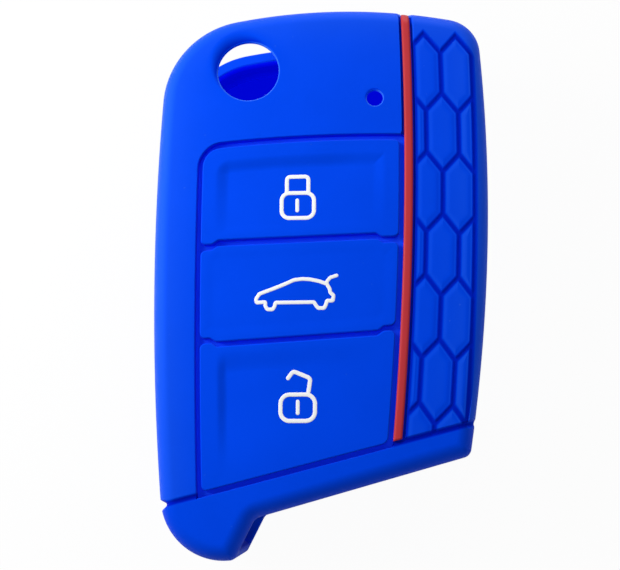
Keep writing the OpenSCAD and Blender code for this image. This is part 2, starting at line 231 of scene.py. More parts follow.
def outline_at(s, inset=0.0):
    """Points and outward normals at the distances s along the outline, moved in by inset.
    Inside a corner that is sharper than the inset, a new small corner takes its place, and the
    stretches beside it end where that one begins."""
    s, inset = np.broadcast_arrays(np.mod(s, AROUND), inset)
    low_r = np.maximum(LOW_RIGHT_R, inset + CORNER_LEAST)
    tail_r = np.maximum(TAIL_CORNER_R, inset + CORNER_LEAST)
    low_c, corner_c = low_right_at(low_r), tail_corner_at(tail_r)
    low_turn, tail_turn = turned(low_c - right_c), turned(corner_c - tail_c)
    firsts, lasts = {RIGHT: low_turn, TAIL_CORNER: tail_turn}, {TAIL: tail_turn, LOW_RIGHT: low_turn}
    small = {TAIL_CORNER: (corner_c, tail_r), LOW_RIGHT: (low_c, low_r)}
    p, n = np.zeros(s.shape + (2,)), np.zeros(s.shape + (2,))
    for k, (row, start, end) in enumerate(zip(OUTLINE, STARTS[:-1], STARTS[1:])):
        on = (s >= start) & (s <= end)
        share, i = (s[on] - start) / (end - start), inset[on]
        if row["kind"] == "line":
            first, last = row["p"], row["p"] + row["length"] * row["u"]
            if k == TAIL_SIDE:
                first = corner_c[on] + tail_r[on][:, None] * tail_n
            if k == SLANT_SIDE:
                last = low_c[on] + low_r[on][:, None] * slant_n
            p[on] = first + share[:, None] * (last - first) - i[:, None] * row["n"]
            n[on] = row["n"]
            continue
        first = firsts[k][on] if k in firsts else row["start"]
        last = lasts[k][on] if k in lasts else row["start"] + row["turn"]
        if row["bulge"] > 0:
            last = first + np.mod(last - first, TURN)
        out = unit(first + share * (last - first))
        c, r = (part[on] for part in small[k]) if k in small else (row["c"], row["r"])
        p[on] = c + (r - row["bulge"] * i)[:, None] * out
        n[on] = out * row["bulge"]
    return p, n


# %% [markdown]
# Every piece of the front asks another one: how far inside the outline is a point? A search over
# sampled points would be slow and rough. Each arc and line answers exactly, and the nearest counts.

# %% Measuring from the outline


def from_outline(x, y):
    """Distance inside the outline and the outward normal there: the nearest stretch decides."""
    best = np.full(np.shape(x), 1e9)
    inside, nx, ny = np.zeros_like(best), np.zeros_like(best), np.zeros_like(best)
    for row in OUTLINE:
        if row["kind"] == "line":
            dx, dy = x - row["p"][0], y - row["p"][1]
            t = dx * row["u"][0] + dy * row["u"][1]
            d = -(dx * row["n"][0] + dy * row["n"][1])
            near = (t >= -1e-6) & (t <= row["length"] + 1e-6)
            ox, oy = row["n"]
        else:
            dx, dy = x - row["c"][0], y - row["c"][1]
            far = np.hypot(dx, dy) + 1e-12
            first = min(row["start"], row["start"] + row["turn"])
            near = np.mod(np.arctan2(dy, dx) - first + 1e-7, TURN) <= abs(row["turn"]) + 2e-7
            d = row["bulge"] * (row["r"] - far)
            ox, oy = row["bulge"] * dx / far, row["bulge"] * dy / far
        closer = near & (np.abs(d) < best)
        best = np.where(closer, np.abs(d), best)
        inside = np.where(closer, d, inside)
        nx, ny = np.where(closer, ox, nx), np.where(closer, oy, ny)
    return inside, nx, ny


# %% [markdown]
# ## Lines drawn on the front
# The strip follows one very large circle. The groove under the buttons is a slanted line, and the
# grooves between the buttons are slanted lines with a small step, which widens the middle button.
# They could be drawn as curves. As formulas, they give the distance from any point at once.

# %% Lines drawn on the front
STRIP_X, STRIP_PEAK, STRIP_R = BODY_W / 2 - 10.65, BODY_L / 2 - 16.2, 460.0
STRIP_W, STRIP_T, STRIP_BEND, GROOVE_W = 1.15, 0.6, 34.2, 0.65
LOW_SLANT, LOW_Y = math.radians(14.5), SLANT_Y - 4.55
PANEL_LEFT, PANEL_TOP = BODY_W / 2 - 6.2, BODY_L / 2 - 18.7
UPPER_Y, UPPER_RISE = PANEL_TOP - 0.35 * (PANEL_TOP + LOW_Y), 1.0
LOWER_Y, LOWER_RISE = PANEL_TOP - 0.637 * (PANEL_TOP + LOW_Y), 1.85
STEP, STEP_IN, STEP_RUN = 0.55, 1.7, 1.1


def smooth(t):
    """Soft step from 0 to 1 as t goes from 0 to 1: 3t^2 - 2t^3."""
    t = np.clip(t, 0, 1)
    return t * t * (3 - 2 * t)


def strip_at(y):
    """X of the strip's middle at height y, on a circle of radius STRIP_R."""
    return STRIP_X - STRIP_R + np.sqrt(STRIP_R**2 - (y - STRIP_PEAK) ** 2)


def past_strip(x, y):
    """Distance to the right of the strip's middle."""
    return x - strip_at(y)


def above_low(x, y):
    """Distance above the slanted groove under the buttons."""
    return (y + LOW_Y) * math.cos(LOW_SLANT) - x * math.sin(LOW_SLANT)


def divide(x, y0, rise, step):
    """Height of a groove between two buttons: y0, a steady rise, and a step held over the middle."""
    held = smooth((x + PANEL_LEFT - STEP_IN) / STEP_RUN) * smooth((STRIP_X - 3.5 - x) / STEP_RUN)
    return y0 + rise * (x + PANEL_LEFT) / (PANEL_LEFT + STRIP_X) + step * held


def above_upper(x, y):
    """Distance above the groove between the upper and the middle button."""
    return y - divide(x, UPPER_Y, UPPER_RISE, STEP)


def above_lower(x, y):
    """Distance above the groove between the middle and the lower button."""
    return y - divide(x, LOWER_Y, LOWER_RISE, -STEP)


def least(*distances):
    """Smallest of several distances at each point."""
    return np.min(np.broadcast_arrays(*distances), axis=0)


def corner(a, b, r):
    """Smaller of two distances, with the corner where both run out rounded to radius r."""
    both = (a < r) & (b < r)
    return np.where(both, r - np.hypot(r - a, r - b), np.minimum(a, b))


# %% [markdown]
# ## Where each piece of the front begins and ends
# A region is described by one number at each point: how far inside it the point is. The numbers
# of simple regions combine by taking the smaller one, so a button is a few such distances together.

# %% Regions of the front
PANEL_LEFT_R, PANEL_TOP_R = 760.0, 195.0
WINDOW_CORNER, ROOF_CORNER, PAD_CORNER = 3.2, 2.6, 0.7
RELEASE = np.array([12.9 - BODY_W / 2, BODY_L / 2 - 9.3])
LAMP = np.array([STRIP_X - 4.5, BODY_L / 2 - 13.35])
SEAM_IN, SEAM_ROUND = 0.9, 0.004


def panel_sides(x, y, grow):
    """Distances inside the left, top and right edges of the button field, moved outwards by grow."""
    left = PANEL_LEFT_R + grow - np.hypot(x - PANEL_LEFT_R + PANEL_LEFT, y - LEFT_PEAK)
    top = PANEL_TOP_R + grow - np.hypot(x - 5.0, y - PANEL_TOP + PANEL_TOP_R)
    right = grow - STRIP_W / 2 - GROOVE_W / 2 - past_strip(x, y)
    return left, top, right


def in_window(x, y):
    """Distance inside the opening that the buttons and their grooves fill."""
    left, top, right = panel_sides(x, y, GROOVE_W / 2)
    return least(corner(left, top, WINDOW_CORNER), right, above_low(x, y) + GROOVE_W / 2)


def in_button(number, x, y):
    """Distance inside button 0, 1 or 2, counted from the top."""
    half, r = GROOVE_W / 2, PAD_CORNER
    left, top, right = panel_sides(x, y, -half)
    upper, lower, low = above_upper(x, y), above_lower(x, y), above_low(x, y) - half
    if number == 0:
        floor, roof = upper - half, corner(left, top, ROOF_CORNER)
        return corner(corner(roof, floor, r), corner(right, corner(top, floor, r), r), r)
    roof, floor = (-upper - half, lower - half) if number == 1 else (-lower - half, low)
    return least(*(corner(side, end, r) for side in (left, right) for end in (roof, floor)))


print("release hole at", RELEASE, "lamp hole at", LAMP)

# %% [markdown]
# ## From a region to a closed piece
# A Boolean cut or a fill would leave long thin faces that shade badly. Instead, a fine grid is laid
# over the region. Grid points that lie near the rim are slid onto it, faces outside are dropped, and
# the rim is then rolled over in a quarter circle and carried down to a second sheet underneath. The
# result is a closed, thin solid whose edge is as smooth as the formula.

# %% Trimming a grid to a region
SLOPE_LEAST = 0.05


def trim(U, V, keep, closed):
    """Faces of the grid (U, V) inside the region, its rim points moved onto the rim.
    keep(u, v) is the distance inside. Each grid edge that crosses the rim slides its nearer end
    along the steepest direction until the distance is 0."""
    g = keep(U, V)
    slide = np.zeros(g.shape, bool)
    for axis in (0, 1):
        ahead = np.roll(g, -1, axis)
        crossing = (g > 0) != (ahead > 0)
        if axis == 0 or not closed:
            crossing[(-1, slice(None)) if axis == 0 else (slice(None), -1)] = False
        nearer = np.abs(g) <= np.abs(ahead)
        slide |= crossing & nearer
        slide |= np.roll(crossing & ~nearer, 1, axis)
    u, v, e = U[slide], V[slide], 0.01
    for _ in range(5):
        gu = (keep(u + e, v) - keep(u - e, v)) / (2 * e)
        gv = (keep(u, v + e) - keep(u, v - e)) / (2 * e)
        push = keep(u, v) / np.maximum(gu**2 + gv**2, SLOPE_LEAST)
        u, v = u - push * gu, v - push * gv
    U, V = U.copy(), V.copy()
    U[slide], V[slide] = u, v
    index = np.arange(g.size).reshape(g.shape)
    if closed:
        index = np.hstack([index, index[:, :1]])
    corners = np.stack([index[:-1, :-1], index[:-1, 1:], index[1:, 1:], index[1:, :-1]], -1).reshape(-1, 4)
    live = ((g > 0) | slide).ravel()[corners]
    three = live.sum(1) == 3
    order = ((~live[three]).argmax(1)[:, None] + np.arange(1, 4)) % 4
    triangles = np.take_along_axis(corners[three], order, 1)
    return U.ravel(), V.ravel(), corners[live.all(1)], triangles, slide.ravel()


def rim_edges(faces, count):
    """Directed edges that only one face uses: the outside lies on their right."""
    edges = np.concatenate([np.stack([f, np.roll(f, -1, 1)], -1).reshape(-1, 2) for f in faces if len(f)])
    code, back = edges[:, 0] * count + edges[:, 1], edges[:, 1] * count + edges[:, 0]
    return edges[~np.isin(code, back)]


# %% [markdown]
# The mesh itself is filled straight from arrays. Every corner also gets its exact normal from the
# formula, so flat areas stay flat right up to a rounded rim.

# %% Filling a mesh from arrays


def add_mesh(name, points, faces, normals=None, **marks):
    """Object from points in mm, a list of face arrays, and optional normals at the points.
    marks are numbers per point, stored as attributes for the material to read: through is the strength
    of a painted glow that stands in for light passing the thin silicone, and tone is painted light and
    shade: 1 painted highlight, 0 plain, -1 painted shade and -2 dark painted shade."""
    faces = [f for f in faces if len(f)]
    sizes = np.concatenate([np.full(len(f), f.shape[1]) for f in faces])
    starts = np.cumsum(sizes) - sizes
    mesh = bpy.data.meshes.new(name)
    mesh.vertices.add(len(points))
    mesh.vertices.foreach_set("co", (np.asarray(points) * MM).astype(np.float32).ravel())
    mesh.loops.add(int(sizes.sum()))
    mesh.loops.foreach_set("vertex_index", np.concatenate([f.ravel() for f in faces]).astype(np.int32))
    mesh.polygons.add(len(sizes))
    mesh.polygons.foreach_set("loop_start", starts.astype(np.int32))
    mesh.update(calc_edges=True)
    mesh.polygons.foreach_set("use_smooth", np.ones(len(sizes), bool))
    mesh.update()
    if normals is not None:
        mesh.normals_split_custom_set_from_vertices(np.asarray(normals, np.float32))
    for label, values in marks.items():
        mesh.attributes.new(label, "FLOAT", "POINT").data.foreach_set("value", values.astype(np.float32))
    print(f"{name}: {len(points)} points, {int((sizes - 2).sum())} triangles")
    return add_object(name, mesh)


# %% [markdown]
# A modifier could thicken a trimmed sheet, but its rim would be square. The next function builds both
# faces and the rim between them, ring by ring, each with its own normals, its own painted glow and its
# own painted light and shade.

# %% A closed sheet


def unit_rows(a):
    """Rows scaled to length 1."""
    return a / np.maximum(np.linalg.norm(a, axis=-1, keepdims=True), 1e-12)


def cross_of(place, u, v, e=0.004):
    """Normal of a surface place(u, v): cross product of its two slopes."""
    return unit_rows(np.cross(place(u + e, v) - place(u - e, v), place(u, v + e) - place(u, v - e)))


def solid_sheet(name, U, V, keep, outer, inner, thick, rim=SEAM_ROUND, closed=False, inner_round=0.0,
                rounds=5, painted_glow_levels=(0, 0.1), tone=None, inner_tone=None, rim_tone=0.0, shade=None):
    """Closed piece between two sheets over a trimmed grid.
    outer(u, v) and inner(u, v) are its two faces. The rim leaves the outer face in a quarter
    circle of the radius rim, a number or a function of (u, v), goes straight to the inner face and
    may be rounded there too. closed is the length after which u comes round again.
    lit is the strength of the painted glow, which stands in for light passing the silicone, on the
    outer and on the inner face; on the inner face it fades out towards the tail end. tone(u, v) is the
    painted light and shade of the outer face, inner_tone(u, v) the painted shade of the inner one, else
    dark painted shade. rim_tone is painted shade added little by little on the way down the rim.
    shade(u, v) is a calmer surface to take the outer face's normals from."""
    u, v, quads, triangles, slid = trim(U, V, keep, closed)
    front = outer(u, v)
    p, q, r = (front[triangles[:, k]] for k in range(3))
    area = np.linalg.norm(np.cross(q - p, r - p), axis=1)
    triangles = triangles[~(slid[triangles].all(1) & (area < 0.12 * np.median(area)))]
    used = np.unique(np.concatenate([quads.ravel(), triangles.ravel()]))
    renumber = np.full(len(u), -1)
    renumber[used] = np.arange(len(used))
    quads, triangles = renumber[quads], renumber[triangles]
    u, v, front = u[used], v[used], front[used]
    n, normal = len(u), cross_of(shade or outer, u, v)
    edges = rim_edges([quads, triangles], n)
    border = np.unique(edges)
    place = np.full(n, -1)
    place[border] = np.arange(len(border))
    a, b = place[edges].T
    step_u, step_v = u[edges[:, 1]] - u[edges[:, 0]], v[edges[:, 1]] - v[edges[:, 0]]
    if closed:
        step_u = (step_u + closed / 2) % closed - closed / 2
    out = np.zeros((len(border), 2))
    for end in (a, b):
        np.add.at(out, end, np.stack([step_v, -step_u], 1))
    ur, vr, e = u[border], v[border], 0.02
    formed = np.abs(keep(ur, vr)) < 0.02
    radius = np.where(formed, rim(ur, vr) if callable(rim) else rim, SEAM_ROUND)
    fall = np.stack([keep(ur - e, vr) - keep(ur + e, vr), keep(ur, vr - e) - keep(ur, vr + e)], 1)
    out = unit_rows(np.where(formed[:, None], fall, out))
    away = unit_rows(outer(ur + e * out[:, 0], vr + e * out[:, 1]) - outer(ur, vr))
    rings, ring_normals = [], []

    def ring(turn, shift, share, facing):
        """One ring of the rim: moved out by shift, a share of the way from outer to inner face."""
        uu, vv = ur + out[:, 0] * shift, vr + out[:, 1] * shift
        rings.append(outer(uu, vv) * (1 - share)[:, None] + inner(uu, vv) * share[:, None])
        ring_normals.append(facing * normal[border] * math.cos(turn) + away * math.sin(turn))

    for turn in np.linspace(0, RIGHT_ANGLE, rounds + 1)[1:]:
        ring(turn, radius * math.sin(turn), radius * (1 - math.cos(turn)) / thick, 1)
    soft = np.where(radius > SEAM_ROUND, inner_round, 0)
    for turn in np.linspace(RIGHT_ANGLE, 0, 4)[:-1] if inner_round else [RIGHT_ANGLE]:
        ring(turn, radius - soft * (1 - math.sin(turn)), 1 - soft * (1 - math.cos(turn)) / thick, -1)
    count, m = len(rings), len(border)
    far = n + count * m
    faces = [quads, triangles, far + quads[:, ::-1], far + triangles[:, ::-1]]
    lines = [edges.T, *[n + k * m + np.stack([a, b]) for k in range(count)], far + edges.T]
    faces += [np.stack([a0, a1, b1, b0], 1) for (a0, b0), (a1, b1) in zip(lines, lines[1:])]
    points = np.concatenate([front, *rings, inner(u, v)])
    normals = unit_rows(np.concatenate([normal, *ring_normals, -normal]))
    # Painted glow: an even one on the outer face, and on the inner face one that fades out towards the tail
    # end.
    through = np.full(len(points), float(painted_glow_levels[0]))
    through[far - m :] = painted_glow_levels[1] * (0.05 + 0.95 * smooth((points[far - m :, 1] - 5) / 15))
    # Painted light and shade on the outer face, painted shade growing down the rims and on the inner face.
    front_tone = tone(u, v) if tone else np.zeros(n)
    rim_painted_shade_steps = [rim_tone * min(1, (k + 1) / rounds) ** 2 * (radius > SEAM_ROUND) for k in range(count)]
    back_tone = inner_tone(u, v) if inner_tone else np.full(n, -2.0)
    tones = np.concatenate([front_tone, *[front_tone[border] + s for s in rim_painted_shade_steps], back_tone])
    return add_mesh(name, points, faces, normals, through=through, tone=tones)


# %% [markdown]
# ## The skin's own shape
# The front is flat and rolls over into the sides on a radius of 2.2 mm. Its grooves could be cut out
# and bevelled. Instead they are pressed into it along its normal, so the same formula serves the
# front, the rounded edge and the side wall, and every groove keeps its soft sides.

# %% Grooves and the rounded edge
TAIL_GROOVE_LEFT, TAIL_GROOVE_RIGHT = -19.6, 20.6


def low_groove(x, y):
    """Depth of the groove that divides off the tail end: a soft channel that fades at the right."""
    q = np.abs(above_low(x, y))
    edge = smooth((TAIL_GROOVE_LEFT - x) / 2.2)
    depth = (0.45 + 0.5 * edge) * (1 - smooth((q - 0.08) / (0.46 + 0.4 * edge)))
    return depth * smooth((TAIL_GROOVE_RIGHT - x) / 1.6)


def strip_bed(x, y):
    """Depth of the strip's bed. The gaps beside the strip get shallow where it runs over the edge."""
    o = np.abs(past_strip(x, y))
    gap = STRIP_T - 0.5 * smooth((y - STRIP_BEND) / 1.6)
    under = (STRIP_T - gap) * (1 - smooth((o - 0.5) / 0.08))
    return (gap + under) * (1 - smooth((o - 0.8) / 0.25))


def rounded_front(x, y):
    """Height of the front and its outward normal: a quarter circle of radius EDGE_R at the edge."""
    inside, nx, ny = from_outline(x, y)
    lean = np.clip(1 - inside / EDGE_R, 0, 0.999)
    rise = np.sqrt(1 - lean**2)
    return BODY_T - EDGE_R + EDGE_R * rise, np.stack([nx * lean, ny * lean, rise], -1)


def pressed(x, y, depth):
    """Point of the front pressed in by depth along its normal."""
    z, n = rounded_front(x, y)
    return np.stack([x, y, z], -1) - n * depth[..., None]


def level(z):
    """A flat sheet at the height z."""
    return lambda x, y: np.stack([x, y, np.full_like(x, z)], -1)


def edge_tone(x, y, down=0.0):
    """Painted sheen: paler towards the rounded edge, except round the tail end."""
    inside = from_outline(x, y)[0]
    return 0.38 * np.exp(-(np.maximum(inside, 0) + down) / 2.8) * smooth(above_low(x, y) + 0.5)


# %% [markdown]
# ## The face of the cover
# The face is the frame round the buttons: the area with the two holes, the left margin and the tail
# end. A plain square grid would show stair steps in the slanted groove. So this grid leans with the
# groove: its rows run along it and crowd together there.

# %% The face
GRID = 1.0
WINDOW_RIM = 0.12
RELEASE_OUT, LAMP_OUT = 6.4, 1.9
under_front = level(BODY_T - FRONT_WALL)


def leaning_grid(x0, x1, y0, y1, step, fine, reach):
    """Grid whose rows lean by LOW_SLANT and crowd together near the slanted groove."""
    lean = math.tan(LOW_SLANT)
    w = np.linspace(y0 - lean * x1 + LOW_Y, y1 - lean * x0 + LOW_Y, 20001)
    size = fine + (step - fine) * smooth((np.abs(w) - reach) / 1.5)
    total = np.concatenate([[0], np.cumsum(np.diff(w) / size[:-1])])
    rows = np.interp(np.arange(0, int(total[-1]) + 1), total, w)
    X, W = np.meshgrid(np.arange(x0, x1 + step, step), rows)
    return X, W + lean * X - LOW_Y


def face_limits(x, y):
    """Distances inside the edge and outside the buttons, the strip and grip, and the two collars,
    each less the radius of the rim there."""
    edge, window = from_outline(x, y)[0] - SEAM_IN, -in_window(x, y)
    o, q = -0.925 - past_strip(x, y), -above_low(x, y)
    both = np.hypot(np.maximum(o, 0), np.maximum(q, 0))
    grip = np.where((o > 0) | (q > 0), both, np.maximum(o, q))
    release = np.hypot(x - RELEASE[0], y - RELEASE[1]) - RELEASE_OUT
    lamp = np.hypot(x - LAMP[0], y - LAMP[1]) - LAMP_OUT
    return np.stack([window - WINDOW_RIM, *(d - SEAM_ROUND for d in (edge, grip, release, lamp))])


def keep_face(x, y):
    """Distance inside the face: the smallest of its limits."""
    return face_limits(x, y).min(0)


def face_rim(x, y):
    """A formed rim round the buttons, and a seam that doesn't show everywhere else."""
    return np.where(face_limits(x, y).argmin(0) == 0, WINDOW_RIM, SEAM_ROUND)


def face_outer(x, y):
    """The face: the rounded front, pressed in along the slanted groove."""
    return pressed(x, y, low_groove(x, y))


def face_tone(x, y):
    """Painted sheen at the edge and painted shade deep in the slanted groove."""
    return edge_tone(x, y) - 1.1 * np.clip((low_groove(x, y) - 0.02) / 0.34, 0, 1)


X, Y = leaning_grid(-21.8, 22.0, -36.8, 36.8, 0.27 / GRID, 0.1 / GRID, 0.75)
# Painted shade down the rim round the buttons, besides the face's painted sheen and groove shade.
face = solid_sheet("cover_face", X, Y, keep_face, face_outer, under_front, FRONT_WALL, rim=face_rim,
                   rim_tone=-0.4, tone=face_tone,
                   shade=lambda x, y: pressed(x, y, 0.12 * low_groove(x, y)))

# %% [markdown]
# ## The honeycomb grip
# Right of the strip, long six-sided cells stand proud of grooves with sloping sides. Cells in each
# row sit between those of the next, rows fall a little to the right, and a straight groove ends
# the pattern beside the rounded edge. An array of separate cells would have to be bent and trimmed
# one by one. As a depth that is worked out at every point, the pattern follows strip and edge.
# The distances o are counted from the strip's middle.

# %% The honeycomb
CELL_W, CELL_SIDE, CELL_POINT, CELL_GAP = 4.35, 5.8, 2.6, 0.65
CELL_TOP, CELL_MID, CELL_FALL, GRIP_W = BODY_L / 2 - 9.9, 4.55, 0.1, 8.8
ROWS, CELL_CORNER = 7, 0.25


def in_cells(o, y, grow):
    """Distance inside the nearest cell: the smallest distance from its two sides and four slopes."""
    best = np.full(np.shape(o), -9.0)
    slope, tip = math.hypot(CELL_W / 2, CELL_POINT), CELL_SIDE / 2 + CELL_POINT
    for row in range(ROWS):
        for column in (-1, 1) if row % 2 == 0 else (-2, 0, 2):
            cx = CELL_MID + column * CELL_W / 2
            cy = CELL_TOP - row * (CELL_SIDE + CELL_POINT) - CELL_FALL * (cx - CELL_MID)
            dx, dy = np.abs(o - cx), y - cy + CELL_FALL * (o - cx)
            slopes = (CELL_W / 2 * (tip - np.abs(dy)) - CELL_POINT * dx) / slope
            best = np.maximum(best, corner(CELL_W / 2 - dx, slopes, CELL_CORNER) + grow)
    return best


def grip_areas(o, y):
    """Distance inside the nearest cell, cut off at the strip and at the last groove, and distance
    inside the plain area beyond that groove."""
    half = CELL_GAP / 2
    island = least(in_cells(o, y, -half), o - 1.2, GRIP_W - half - o)
    plain = np.maximum(-in_cells(o, y, half), o - GRIP_W - half)
    return island, np.where(o < 0.9, -1, plain)


def grip_depth(x, y, full=0.34):
    """Depth of the grip's grooves: full beyond a cell's sloping side, 0 on cells and plain areas."""
    island, plain = grip_areas(past_strip(x, y), y)
    crown = 0.05 * (1 - smooth(island / 0.7)) * smooth((island + 0.26) / 0.26)
    proud = np.maximum(smooth((island + 0.28) / 0.34), smooth((plain + 0.28) / 0.38))
    cells = full * (1 - proud) + crown
    return np.maximum(np.maximum(cells, strip_bed(x, y)), low_groove(x, y))


print("a cell is", CELL_W, "x", CELL_SIDE + 2 * CELL_POINT, "mm from groove middle to groove middle")

# %% [markdown]
# The grip's sheet reaches from the strip's bed to the rounded edge. On the real cover the grooves
# are deep blue and the cells have a pale line where they catch the light. That could be left to the
# lamps, but the slopes are only a few pixels wide, so the grooves' shade and the pale lines are
# painted into the colour as well: painted shade and painted highlights.

# %% The grip


def keep_grip(x, y):
    """Right of the strip's left edge, inside the rounded edge and above the tail end's groove."""
    o = past_strip(x, y)
    above = -panel_sides(x, y, GROOVE_W / 2)[1]
    left = np.maximum(o + 0.575, np.minimum(o + 0.92, above))
    edge = from_outline(x, y)[0] - SEAM_IN
    return least(left, above_low(x, y), edge) - SEAM_ROUND


def grip_outer(x, y):
    """The grip: the rounded front, pressed in along the grooves."""
    return pressed(x, y, grip_depth(x, y))


def bell(d, middle, width):
    """Soft bump of height 1 where the distance d passes middle: exp(-((d - middle) / width)^2)."""
    return np.exp(-(((d - middle) / width) ** 2))


def grip_tone(x, y, e=0.02):
    """Painted shade in the grooves, with a painted highlight line on the cells' upper right edges, a soft
    painted highlight at their left and painted shade on their right side."""
    edge, plain = grip_areas(past_strip(x, y), y)
    right = (grip_areas(past_strip(x - e, y), y)[0] - edge) / e
    upper = (grip_areas(past_strip(x, y - e), y - e)[0] - edge) / e
    # Painted highlight line on the cells' upper right edges.
    line = 0.35 * bell(edge, 0.13, 0.08) * smooth((0.75 * right + 0.65 * upper - 0.3) / 0.6)
    # Soft painted highlight on the cells' left edges, painted shade on their right side.
    soft = 0.1 * bell(edge, 0.3, 0.25) * smooth(-right) - 0.16 * bell(edge, 0.3, 0.5) * smooth(right)
    # Painted shade in the honeycomb grooves and in the slanted groove.
    groove = 0.9 * (1 - np.maximum(smooth((edge + 0.1) / 0.24), smooth((plain + 0.12) / 0.3)))
    groove = np.maximum(groove, np.clip(low_groove(x, y) / 0.4, 0, 1))
    return (edge_tone(x, y) + line + soft) * (1 - groove) - groove


O, W = np.meshgrid(np.arange(-0.96, 11.6, 0.1 / GRID), np.arange(-25.03, 37.2, 0.12 / GRID))
X = O + strip_at(W + math.tan(LOW_SLANT) * (O + STRIP_X))
grip = solid_sheet("cover_grip", X, W + math.tan(LOW_SLANT) * X, keep_grip, grip_outer, under_front,
                   FRONT_WALL, tone=grip_tone, shade=lambda x, y: pressed(x, y, grip_depth(x, y, 0.06)))

# %% [markdown]
# ## The buttons
# Each button is a pad with a crisp rounded rim. The upper and the lower one have a shallow hollow
# for the finger, which fades out on one side, and the middle one is all but flat. A sculpted hollow
# would be hard to repeat, so it is a smooth function of the distances to the pad's own sides.

# %% The buttons
PAD_RIM, HOLLOW = 0.2, 0.4


def hollow(number, x, y):
    """Depth of the finger hollow: a soft rim along its edge times a slope that fades out."""
    if number == 1:
        return 0.05 * smooth((in_button(1, x, y) - 0.5) / 1.5)
    left, top, right = panel_sides(x, y, 0)
    if number == 0:
        floor = above_upper(x, y) - 1.0
        edge = least(corner(left - 2.6, top - 2.7, 1.5), right - 2.6, floor)
        fade = np.clip(floor / 9.5, 0, 1) ** 0.8 * (1 - 0.4 * smooth((x - STRIP_X + 12) / 8))
        return HOLLOW * smooth((edge + 0.5) / 1.9) * fade
    edge = smooth((left - 2.5) / 1.4) * smooth((-above_lower(x, y) - 0.9) / 3.0)
    fade = np.clip((STRIP_X - 4 - x) / 22, 0, 1) * smooth((above_low(x, y) - 1) / 10)
    return HOLLOW * edge * fade


def button_top(number):
    """The pad's front surface."""
    return lambda x, y: np.stack([x, y, BODY_T - hollow(number, x, y)], -1)


def keep_button(number):
    """The pad's outline, less the radius of its rim."""
    return lambda x, y: in_button(number, x, y) - PAD_RIM


BUTTONS = {"lock": (0, 2.6, 19.5), "boot": (1, -11.5, 6.0), "unlock": (2, -30.5, -6.5)}
pads = {}
for body, (number, low, high) in BUTTONS.items():
    X, Y = np.meshgrid(np.arange(-17.2, 12.2, 0.22 / GRID), np.arange(low, high, 0.22 / GRID))
    # Painted shade down the pads' rims.
    pads[body] = solid_sheet(body + "_pad", X, Y, keep_button(number), button_top(number), under_front,
                             FRONT_WALL, rim=PAD_RIM, rim_tone=-0.35)

# %% [markdown]
# ## The webs under the grooves
# Between the buttons and the cover the silicone thins to half a millimetre, which lets a button
# move. The three webs are seen only as the narrow floor of the grooves. They could be sculpted like
# the face, but flat sheets are enough for that.

# %% The webs
WEB_T, WEB_RIM = 0.5, 0.01


def keep_web(number):
    """The button's share of the window, without the button itself."""

    def keep(x, y):
        """Distance inside the web, less the radius of its rim."""
        upper, lower = above_upper(x, y), above_lower(x, y)
        band = [upper, np.minimum(-upper, lower), -lower][number]
        return least(in_window(x, y), 0.5 - in_button(number, x, y), band) - WEB_RIM

    return keep


webs = []
for body, (number, low, high) in BUTTONS.items():
    X, Y = np.meshgrid(np.arange(-17.4, 12.6, 0.16 / GRID), np.arange(low - 1, high + 1, 0.16 / GRID))
    # The webs get a painted glow and paler painted light, so the floor of each groove is not so dark.
    webs.append(solid_sheet(body + "_web", X, Y, keep_web(number), level(BODY_T - FRONT_WALL + WEB_T),
                            under_front, WEB_T, rim=WEB_RIM, rounds=1, painted_glow_levels=(0.3, 0.5),
                            tone=lambda x, y: np.full(np.shape(x), 0.45)))

# %% [markdown]
# ## The sides
# The sides are one band: a profile that starts on the front's rounded edge, drops down the wall and
# curls under the back, carried round the outline. A bevelled curve could do that, but it would
# bunch up in the tight corners. Here every point is placed by the outline's own formula.

# %% The band's surface
SEAM_TURN = math.acos(1 - SEAM_IN / EDGE_R)
WALL_TOP = EDGE_R * SEAM_TURN
WALL_END = WALL_TOP + BODY_T - 2 * EDGE_R
BACK_START = WALL_END + EDGE_R * RIGHT_ANGLE
BACK_LAP, BAND_RIM = 0.6, 0.3


def profile(t):
    """The profile after a length t: how far in from the outline, how high, and its normal's lean."""
    lean = np.clip(SEAM_TURN - t / EDGE_R, 0, None) - np.clip((t - WALL_END) / EDGE_R, 0, RIGHT_ANGLE)
    inset = EDGE_R * (1 - np.cos(lean)) + np.clip(t - BACK_START, 0, None)
    upper = BODY_T - EDGE_R + EDGE_R * np.sin(lean) - np.clip(t - WALL_TOP, 0, None)
    return inset, np.where(t < WALL_END, upper, EDGE_R + EDGE_R * np.sin(lean)), lean


def band_point(s, t, depth):
    """Point of the band s along the outline and t down the profile, pressed in by depth."""
    inset, z, lean = profile(t)
    p, _ = outline_at(s, inset + depth * np.cos(lean))
    return np.stack([p[..., 0], p[..., 1], z - depth * np.sin(lean)], -1)


def band_outer(s, t):
    """Outside of the band, with the slanted groove and the strip's bed pressed in."""
    x, y, z = np.moveaxis(band_point(s, t, 0.0), -1, 0)
    groove = low_groove(x, y) * smooth((z - 1.8) / 0.8)
    bed = strip_bed(x, y) * smooth((z - 15.9) / 0.3) * (y > 25)
    return band_point(s, t, np.maximum(groove, bed))


def band_inner(s, t):
    """Inside of the band, one wall thickness in."""
    return band_point(s, t, WALL)


def band_tone(s, t):
    """The painted edge sheen fades down the side, and the slanted groove gets painted shade."""
    x, y, z = np.moveaxis(band_outer(s, t), -1, 0)
    groove = np.clip(low_groove(x, y) / 0.45, 0, 1) * smooth((z - 1.8) / 0.8)
    return edge_tone(x, y, np.clip(BODY_T - 3 - z, 0, None) / 2) - 1.1 * groove


print("the profile is", round(BACK_START + BACK_LAP, 1), "mm long")

